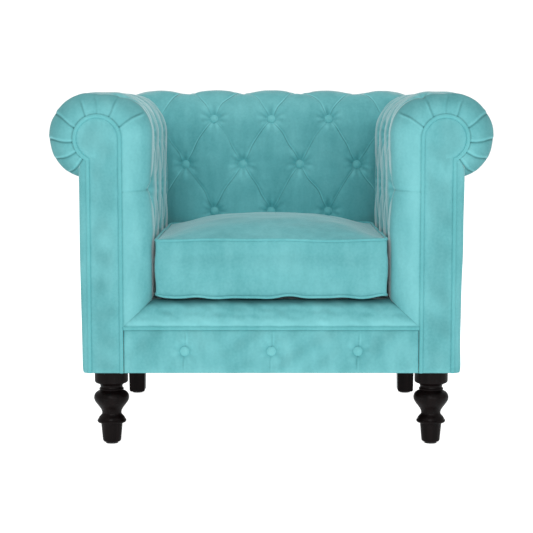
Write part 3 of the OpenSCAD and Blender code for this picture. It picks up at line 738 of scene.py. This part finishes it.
# The cushion starts as a box from -1 to 1: a across, b from front to back and c up.
ON_FACE = 0.999
CORNER_POWER = 50
CROWN_POWER = 2.6
START_CROWN, STUFFED_CROWN, UNDER_SWELL = 0.032, 0.0105, 0.002
SIDE_BULGE, FRONT_BULGE = 0.0072, 0.0060
SIDE_CLEARANCE = 0.0056
COVER_INSET = Vector((0.0096, 0.0070, 0))


def cushion_start(a, b, c, half, mid_y, seams):
    """The cover before it is stuffed, with rounded corners and a crown cut into it."""
    ring = np.maximum(np.abs(a), np.abs(b))
    norm = (np.abs(a) ** CORNER_POWER + np.abs(b) ** CORNER_POWER) ** (1 / CORNER_POWER)
    pull = np.where(ring > 0, ring / np.maximum(norm, 1e-9), 1)
    crown = (1 - np.abs(a) ** CROWN_POWER) * (1 - np.abs(b) ** CROWN_POWER)
    z = mix(*seams, (c + 1) / 2) + np.where(c > ON_FACE, START_CROWN * crown, 0)
    return np.stack([a * pull * half.x, mid_y + b * pull * half.y, z], 1)


def stuffing(move, faces, a, b, c):
    """The cloth's own movement, evened and brought to the cushion's size."""
    side = np.maximum(np.abs(a), np.abs(b)) > ON_FACE
    swell = (1 - a**4) * (1 - b**4)
    outward = np.stack([np.where(np.abs(k) > ON_FACE, k, 0) for k in (a, b)], 1)
    bulge = np.clip((move[:, :2] * outward).sum(1), 0, None)
    bulge = evened(bulge, faces, 6) * side
    bulge = bulge / max(bulge.max(), 1e-6)
    shape = bulge
    rise = np.where(c > ON_FACE, evened(np.clip(move[:, 2], 0, None), faces, 3), 0)
    rise = rise / rise.max() if rise.max() > 1e-6 else swell * (c > ON_FACE)
    sized = move.copy()
    sized[:, :2] = outward * (SIDE_BULGE * np.sqrt(shape) * side)[:, None]
    sized[:, 2] = STUFFED_CROWN * rise - np.where(c < -ON_FACE, UNDER_SWELL * swell, 0)
    return sized


def fit_to_chair(points, a, b, c, half, rng):
    """Holds the cushion between the arms and draws its back in where the zip is sewn."""
    swell = (1 - a**4) * (1 - b**4)
    wrinkle = 0.0012 * waves(rng, a * half.x, b * half.y + c * 0.07, 0.12)
    points[:, 2] += wrinkle * (c > ON_FACE) * swell
    points[:, 0] = np.clip(points[:, 0], -SEAT_X + SIDE_CLEARANCE, SEAT_X - SIDE_CLEARANCE)
    in_front = smooth((TURN_Y + 0.002 - points[:, 1]) / 0.020) * np.abs(a) ** 6
    points[:, 0] += FRONT_BULGE * np.sign(a) * in_front
    by_zip = 1 - smooth((np.abs(points[:, 2] - (ZIP_LOW.z + ZIP_HIGH.z) / 2) - 0.019) / 0.012)
    by_zip *= 1 - smooth((np.abs(points[:, 0]) - ZIP_HIGH.x - 0.007) / 0.020)
    drawn_in = np.minimum(points[:, 1], ZIP_LOW.y - 0.0008)
    points[:, 1] = np.where(b > ON_FACE, mix(points[:, 1], drawn_in, by_zip), points[:, 1])
    ripple = 0.0014 * waves(rng, a * half.x, c * 0.07, 0.13) * (1 - c * c)
    points[:, 1] += np.where(b < -ON_FACE, ripple, 0)


def seam_wave(turn, level):
    """The up and down of a piped seam; the lower one is lifted off the deck."""
    wave = 0.0013 * np.sin(5 * turn + level) + 0.0009 * np.sin(11 * turn + 2)
    if level < 0:
        wave = 0.0020 + wave + 0.0020 * np.sin(19 * turn + 1) + 0.0010 * np.sin(31 * turn)
    return wave


def cushion(velvet, piping):
    """The loose cushion: stuffed by cloth pressure, then piped along its two seams."""
    rng = np.random.default_rng(101)
    unit, faces = cushion_block(54)
    half = (TOP_WELT_HIGH - TOP_WELT_LOW) / 2 - COVER_INSET
    mid_y = (SEAT_LOW.y + SEAT_HIGH.y) / 2
    seam_top = (TOP_WELT_LOW.z + TOP_WELT_HIGH.z) / 2
    seam_low = (LOW_WELT_LOW.z + LOW_WELT_HIGH.z) / 2
    a, b, c = unit.T
    ring = np.maximum(np.abs(a), np.abs(b))
    start = cushion_start(a, b, c, half, mid_y, (seam_low, seam_top))
    # painted shadow round the rim of the cushion's underside
    underside_painted_shadow = -1.0 * (c < -ON_FACE) * (ring > 0.92)
    piece = new_piece("seat_cushion", start, faces, velvet, "seat_cushion", underside_painted_shadow)
    ended = inflate(piece, 3.5, 20)
    final = start + stuffing(ended - start, faces, a, b, c)
    fit_to_chair(final, a, b, c, half, rng)
    rims = {}
    for name, level in (("top", 1), ("low", -1)):
        loop = np.where((ring > ON_FACE) & (np.abs(c - level) < 1e-3))[0]
        loop = loop[np.argsort(np.arctan2(b[loop], a[loop]))]
        path = smooth_loop(final[loop], 3)
        wave = seam_wave(np.linspace(0, 2 * PI, len(loop), endpoint=False), level)
        if level < 0:
            wave = wave + 0.006 * np.abs(a * b)[loop] ** 10
        path[:, 2] += np.clip(wave, -0.003 if level > 0 else 0, 0.009)
        final[loop] = path
        rims[name] = path
    final[:, 2] = np.maximum(final[:, 2], SEAT_LOW.z + 0.0003)
    piece.data.vertices.foreach_set("co", final.ravel())
    piece.data.update()
    subdivide(piece)
    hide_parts("cushion_cover")
    for name, path in rims.items():
        away = (path - [0, mid_y, 0]) / [half.x, half.y, 1]
        away[:, 2] = 0
        away = np.sign(away) * np.abs(away) ** 12
        away /= np.linalg.norm(away, axis=1, keepdims=True)
        cord = smooth_loop(path + away * (PIPING_R - 0.0004), 1)
        welt = tube(f"cushion_piping_{name}", cord, PIPING_R, piping, "seat_cushion")
        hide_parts("cushion_welt_top" if name == "top" else "cushion_welt_bottom")
        subdivide(welt)
    return piece


def subdivide(piece):
    """Applies one level of subdivision."""
    piece.modifiers.new("fine", "SUBSURF").levels = 1
    done = bpy.data.meshes.new_from_object(
        piece.evaluated_get(bpy.context.evaluated_depsgraph_get())
    )
    piece.modifiers.clear()
    piece.data = done


# ---------- materials ----------


def new_material(name):
    made = bpy.data.materials.new(name)
    made.use_nodes = True
    tree = made.node_tree
    shader = tree.nodes["Principled BSDF"]
    place = tree.nodes.new("ShaderNodeTexCoord").outputs["Object"]
    return made, tree, shader, place


def noise(tree, place, scale, detail=3.0, stretch=None):
    if stretch:
        mapping = tree.nodes.new("ShaderNodeMapping")
        mapping.inputs["Scale"].default_value = stretch
        tree.links.new(place, mapping.inputs["Vector"])
        place = mapping.outputs["Vector"]
    made = tree.nodes.new("ShaderNodeTexNoise")
    made.inputs["Scale"].default_value = scale
    made.inputs["Detail"].default_value = detail
    tree.links.new(place, made.inputs["Vector"])
    return made.outputs["Fac"]


def ramp(tree, value, stops):
    made = tree.nodes.new("ShaderNodeValToRGB")
    ends = made.color_ramp.elements
    while len(ends) < len(stops):
        ends.new(0.5)
    for end, (at, colour) in zip(ends, stops):
        end.position = at
        end.color = (*colour, 1)
    tree.links.new(value, made.inputs["Fac"])
    return made.outputs["Color"]


def ranged(tree, value, given, wanted):
    """A value in the given range, moved to the wanted one and held there."""
    made = tree.nodes.new("ShaderNodeMapRange")
    made.inputs["From Min"].default_value, made.inputs["From Max"].default_value = given
    made.inputs["To Min"].default_value, made.inputs["To Max"].default_value = wanted
    tree.links.new(value, made.inputs["Value"])
    return made.outputs["Result"]


def blend_colours(tree, amount, a, b):
    """Colour a turning to colour b; each may be a plain value or another node's output."""
    made = tree.nodes.new("ShaderNodeMix")
    made.data_type = "RGBA"
    for name, value in (("Factor_Float", amount), ("A_Color", a), ("B_Color", b)):
        end = next(i for i in made.inputs if i.identifier == name)
        if isinstance(value, tuple):
            end.default_value = (*value, 1)
        elif isinstance(value, float):
            end.default_value = value
        else:
            tree.links.new(value, end)
    return made.outputs["Result"] if made.outputs["Result"].type == "RGBA" else made.outputs[2]


def bump(tree, shader, layers):
    """Adds bumps one over the other: (height output, strength, distance in metres)."""
    last = None
    for height, strength, distance in layers:
        made = tree.nodes.new("ShaderNodeBump")
        made.inputs["Strength"].default_value = strength
        made.inputs["Distance"].default_value = distance
        tree.links.new(height, made.inputs["Height"])
        if last is not None:
            tree.links.new(last, made.inputs["Normal"])
        last = made.outputs["Normal"]
    tree.links.new(last, shader.inputs["Normal"])


# Across a pleat, in parts of the distance between two: where a band starts, is at
# its strongest and ends. The flap's pressed edge gets a painted highlight and the fold beside it a
# painted shade.
PLEAT_EDGE_HIGHLIGHT = [0.504, 0.518, 0.536], 0.68
PLEAT_FOLD_SHADE = [0.484, 0.497, 0.509], 0.60


def pleat_places(tree):
    """For each family of pleats: the place across it, from 0 to 1, and how it shows."""
    place = tree.nodes.new("ShaderNodeAttribute")
    place.attribute_name = "pleats"
    split = tree.nodes.new("ShaderNodeSeparateXYZ")
    tree.links.new(place.outputs["Vector"], split.inputs["Vector"])
    found = []
    for name in ("X", "Y"):
        half_on = tree.nodes.new("ShaderNodeMath")
        half_on.operation = "ADD"
        half_on.inputs[1].default_value = 0.5
        tree.links.new(split.outputs[name], half_on.inputs[0])
        part = tree.nodes.new("ShaderNodeMath")
        part.operation = "FRACT"
        tree.links.new(half_on.outputs["Value"], part.inputs[0])
        found.append((part.outputs["Value"], split.outputs["Z"]))
    return found


def crease_band(tree, across, show, shape):
    """A soft band along the pleats, for their painted highlight and their painted shade, as strong
    as they show.
    """
    (start, middle, end), strength = shape
    nothing, full = (0.0,) * 3, (strength,) * 3
    band = ramp(tree, across, [(0.0, nothing), (start, nothing), (middle, full), (end, nothing)])
    held = tree.nodes.new("ShaderNodeMath")
    held.operation = "MULTIPLY"
    tree.links.new(band, held.inputs[0])
    tree.links.new(show, held.inputs[1])
    return held.outputs["Value"]


# Colours from dark to light.
VELVET_TONES = (0.126, 0.444, 0.470), (0.172, 0.536, 0.566), (0.236, 0.640, 0.668)
PIPING_TONES = (0.130, 0.480, 0.505), (0.170, 0.550, 0.580), (0.215, 0.630, 0.655)
# The buttons are the same velvet, painted paler as a highlight on their domes.
BUTTON_HIGHLIGHT_TONES = (0.170, 0.550, 0.575), (0.215, 0.625, 0.650), (0.265, 0.700, 0.720)
LEG_TONES = (0.0040, 0.0026, 0.0026), (0.0095, 0.0060, 0.0060)
BEECH_TONES = (0.42, 0.28, 0.15), (0.60, 0.43, 0.25)
PLYWOOD_TONES = (0.40, 0.26, 0.13), (0.55, 0.38, 0.20)
JUTE_TONES = (0.22, 0.15, 0.08), (0.38, 0.28, 0.15)
CAMBRIC_TONES = (0.006, 0.006, 0.007), (0.014, 0.014, 0.016)
TAPE_TONES = (0.01, 0.06, 0.065), (0.02, 0.09, 0.10)


def velvet_material(name, tones, sheen):
    """Short cut velvet nap. Its point value pales it towards pressed nap and painted highlights
    above 0, and darkens it to painted shade below 0.
    """
    dark, middle, light = tones
    made, tree, shader, place = new_material(name)
    patches = noise(tree, place, 7.0, 5.0)
    strokes = noise(tree, place, 34.0, 4.0, (1.0, 1.0, 0.30))
    colour = ramp(tree, patches, [(0.34, dark), (0.50, middle), (0.66, light)])
    brushed = ramp(tree, strokes, [(0.34, dark), (0.50, middle), (0.66, light)])
    colour = blend_colours(tree, 0.42, colour, brushed)
    specks = ramp(tree, noise(tree, place, 170.0, 3.0), [(0.30, dark), (0.70, light)])
    colour = blend_colours(tree, 0.22, colour, specks)
    nap_and_painted_light = tree.nodes.new("ShaderNodeAttribute")
    nap_and_painted_light.attribute_name = "nap_and_painted_light"
    # Above 0 the colour pales towards pressed nap and a painted highlight, below 0 it darkens
    # towards a painted shade.
    pale = ranged(tree, nap_and_painted_light.outputs["Fac"], (0, 1), (0, 0.75))
    deep = ranged(tree, nap_and_painted_light.outputs["Fac"], (-1, 0), (0.80, 0))
    pressed_nap_and_highlight, shadow = tuple(1.25 * c + 0.03 for c in light), tuple(0.30 * c for c in dark)
    colour = blend_colours(tree, pale, colour, pressed_nap_and_highlight)
    colour = blend_colours(tree, deep, colour, shadow)
    sunk = []
    # Along each pleat: a painted highlight on the flap's edge and a painted shade in the fold.
    for across, show in pleat_places(tree):
        edge = crease_band(tree, across, show, PLEAT_EDGE_HIGHLIGHT)
        fold = crease_band(tree, across, show, PLEAT_FOLD_SHADE)
        colour = blend_colours(tree, edge, colour, pressed_nap_and_highlight)
        colour = blend_colours(tree, fold, colour, shadow)
        sunk.append((fold, -0.5, 0.0012))
    tree.links.new(colour, shader.inputs["Base Color"])
    # The sheen is taken away where shade is painted.
    nap_shine = ranged(tree, nap_and_painted_light.outputs["Fac"], (-1, 0), (0, sheen))
    tree.links.new(nap_shine, shader.inputs["Sheen Weight"])
    shader.inputs["Sheen Roughness"].default_value = 0.30
    shader.inputs["Sheen Tint"].default_value = (0.90, 0.95, 0.95, 1)
    shader.inputs["Specular IOR Level"].default_value = 0.12
    rough = ramp(tree, noise(tree, place, 60.0), [(0.3, (0.75,) * 3), (0.7, (0.92,) * 3)])
    tree.links.new(rough, shader.inputs["Roughness"])
    nap = noise(tree, place, 850.0, 2.0)
    crush = noise(tree, place, 70.0, 5.0, (1.0, 1.0, 0.4))
    bump(tree, shader, [*sunk, (crush, 0.22, 0.0012), (nap, 0.35, 0.0005)])
    return made


def wood_material(name, tones, roughness, coat, along="Z"):
    """Grain that runs along one axis, with pores."""
    dark, light = tones
    made, tree, shader, place = new_material(name)
    stretch = {"X": (0.06, 1, 1), "Y": (1, 0.06, 1), "Z": (1, 1, 0.06)}[along]
    grain = noise(tree, place, 90.0, 6.0, stretch)
    pores = noise(tree, place, 700.0, 2.0, stretch)
    colour = ramp(tree, grain, [(0.32, dark), (0.68, light)])
    tree.links.new(colour, shader.inputs["Base Color"])
    low, high = roughness
    rough = ramp(tree, noise(tree, place, 30.0), [(0.3, (low,) * 3), (0.7, (high,) * 3)])
    tree.links.new(rough, shader.inputs["Roughness"])
    shader.inputs["Specular IOR Level"].default_value = 0.05
    shader.inputs["Coat Weight"].default_value = coat
    shader.inputs["Coat Roughness"].default_value = 0.16
    bump(tree, shader, [(grain, 0.12, 0.0006), (pores, 0.15, 0.0003)])
    return made


def foam_material(name):
    made, tree, shader, place = new_material(name)
    cells = tree.nodes.new("ShaderNodeTexVoronoi")
    cells.inputs["Scale"].default_value = 420.0
    tree.links.new(place, cells.inputs["Vector"])
    aged = noise(tree, place, 12.0)
    colour = ramp(tree, aged, [(0.3, (0.80, 0.72, 0.48)), (0.7, (0.90, 0.84, 0.64))])
    tree.links.new(colour, shader.inputs["Base Color"])
    shader.inputs["Roughness"].default_value = 0.95
    bump(tree, shader, [(cells.outputs["Distance"], 0.5, 0.0010)])
    return made


def woven_material(name, tones, scale):
    """A plain weave of threads that cross."""
    dark, light = tones
    made, tree, shader, place = new_material(name)
    threads = []
    for direction in ("X", "Y", "Z"):
        wave = tree.nodes.new("ShaderNodeTexWave")
        wave.bands_direction = direction
        wave.inputs["Scale"].default_value = scale
        wave.inputs["Distortion"].default_value = 0.6
        tree.links.new(place, wave.inputs["Vector"])
        threads.append((wave.outputs["Fac"], 0.35, 0.0005))
    mottled = noise(tree, place, 150.0)
    colour = ramp(tree, mottled, [(0.3, dark), (0.7, light)])
    tree.links.new(colour, shader.inputs["Base Color"])
    shader.inputs["Roughness"].default_value = 0.9
    bump(tree, shader, threads)
    return made


def steel_material(name):
    made, tree, shader, place = new_material(name)
    shader.inputs["Metallic"].default_value = 1.0
    mill = noise(tree, place, 80.0)
    colour = ramp(tree, mill, [(0.3, (0.42, 0.42, 0.43)), (0.7, (0.60, 0.60, 0.61))])
    tree.links.new(colour, shader.inputs["Base Color"])
    rough = ramp(tree, noise(tree, place, 200.0), [(0.3, (0.25,) * 3), (0.7, (0.42,) * 3)])
    tree.links.new(rough, shader.inputs["Roughness"])
    bump(tree, shader, [(noise(tree, place, 1200.0), 0.1, 0.0002)])
    return made


def plastic_material(name):
    made, tree, shader, place = new_material(name)
    colour = ramp(tree, noise(tree, place, 50.0), [(0.3, (0.035,) * 3), (0.7, (0.055,) * 3)])
    tree.links.new(colour, shader.inputs["Base Color"])
    shader.inputs["Roughness"].default_value = 0.7
    bump(tree, shader, [(noise(tree, place, 1500.0), 0.3, 0.0003)])
    return made


def make_materials():
    return {
        "velvet": velvet_material("velvet", VELVET_TONES, 0.90),
        "piping": velvet_material("piping_velvet", PIPING_TONES, 0.40),
        "buttons": velvet_material("button_velvet_painted_highlight", BUTTON_HIGHLIGHT_TONES, 0.45),
        "leg_wood": wood_material("dark_stained_wood", LEG_TONES, (0.30, 0.40), 0.10),
        "frame_wood": wood_material("beech", BEECH_TONES, (0.55, 0.7), 0.0, "X"),
        "plywood": wood_material("plywood", PLYWOOD_TONES, (0.6, 0.75), 0.0),
        "foam": foam_material("foam"),
        "jute": woven_material("jute_webbing", JUTE_TONES, 420.0),
        "lining": woven_material("black_cambric", CAMBRIC_TONES, 700.0),
        "steel": steel_material("spring_steel"),
        "glide": plastic_material("glide_plastic"),
        "zip_tape": woven_material("zip_tape", TAPE_TONES, 900.0),
    }


def dress_frame(materials):
    """Gives every CAD node the material of its slot, but the buttons a paler velvet with a painted
    highlight.
    """
    for part in frame["record"]["subparts"]:
        node = frame["nodes"][part["node"]]
        node.data.materials.clear()
        wanted = "buttons" if "buttons" in part["node"] else part["material_slot"]
        node.data.materials.append(materials[wanted])


# ---------- camera, floor and light ----------


LENS, CAMERA_SHIFT = 101.2, -0.0090
CAMERA_PLACE, CAMERA_TILT = (0, -3.7115, 0.7362), 0.0981
ROOM_LIGHT, ROOM_SEEN = 0.54, 1.1
FLOOR_LIGHT, FLOOR_SEEN = 0.40, 0.95


def add_camera():
    """Straight in front, a little above the arms, looking slightly down."""
    made = bpy.data.cameras.new("camera")
    made.lens = LENS
    made.sensor_width = 36
    made.shift_x = CAMERA_SHIFT
    camera = bpy.data.objects.new("camera", made)
    camera.location = CAMERA_PLACE
    camera.rotation_euler = (PI / 2 - CAMERA_TILT, 0, 0)
    bpy.context.scene.collection.objects.link(camera)
    bpy.context.scene.camera = camera


def add_floor():
    """A wide white floor, also brighter to the camera than the light it gives."""
    size = 14
    mesh = bpy.data.meshes.new("floor")
    corners = [(-size, -size, 0), (size, -size, 0), (size, size, 0), (-size, size, 0)]
    mesh.from_pydata(corners, [], [(0, 1, 2, 3)])
    material, tree, shader, place = new_material("floor_paint")
    colour = ramp(tree, noise(tree, place, 2.0), [(0.3, (0.88,) * 3), (0.7, (0.90,) * 3)])
    tree.links.new(colour, shader.inputs["Base Color"])
    shader.inputs["Roughness"].default_value = 0.9
    shader.inputs["Emission Color"].default_value = (1, 1, 1, 1)
    seen = tree.nodes.new("ShaderNodeLightPath").outputs["Is Camera Ray"]
    glow = ranged(tree, seen, (0, 1), (FLOOR_LIGHT, FLOOR_SEEN))
    tree.links.new(glow, shader.inputs["Emission Strength"])
    mesh.materials.append(material)
    floor = bpy.data.objects.new("floor", mesh)
    bpy.context.scene.collection.objects.link(floor)


def add_light(name, place, aim, size, power):
    """A rectangular light turned towards a point."""
    data = bpy.data.lights.new(name, "AREA")
    data.shape = "RECTANGLE"
    data.size, data.size_y = size
    data.energy = power
    light = bpy.data.objects.new(name, data)
    light.location = place
    way = np.array(aim) - np.array(place)
    light.rotation_euler = (
        np.arctan2(np.hypot(way[0], way[1]), -way[2]),
        0,
        np.arctan2(-way[0], way[1]),
    )
    bpy.context.scene.collection.objects.link(light)


def add_stage():
    """A white room that looks brighter to the camera than the light it gives."""
    world = bpy.data.worlds.new("studio")
    world.use_nodes = True
    tree = world.node_tree
    back = tree.nodes["Background"]
    back.inputs["Color"].default_value = (1, 1, 1, 1)
    seen = tree.nodes.new("ShaderNodeLightPath").outputs["Is Camera Ray"]
    tree.links.new(ranged(tree, seen, (0, 1), (ROOM_LIGHT, ROOM_SEEN)), back.inputs["Strength"])
    bpy.context.scene.world = world
    bpy.context.scene.view_settings.view_transform = "Standard"
    add_floor()
    middle = (0, 0, 0.45)
    add_light("key", (-0.5, -4.3, 2.2), middle, (2.0, 1.6), 28)
    add_light("fill", (1.6, -4.0, 1.2), middle, (1.8, 1.6), 13)
    add_light("top", (0, -0.4, 3.2), middle, (2.4, 2.0), 11)


# ---------- the chair ----------

add_camera()
add_stage()
MATERIALS = make_materials()
dress_frame(MATERIALS)
for SIDE in (-1, 1):
    arm_skin(SIDE, MATERIALS["velvet"])
    facing(SIDE, MATERIALS["velvet"])
    outside_arm(SIDE, MATERIALS["velvet"])
back_skin(MATERIALS["velvet"])
seat_lip(MATERIALS["velvet"])
front_panel(MATERIALS["velvet"])
outside_back(MATERIALS["velvet"])
deck(MATERIALS["velvet"])
dust_cloth(MATERIALS["lining"])
cushion(MATERIALS["velvet"], MATERIALS["piping"])
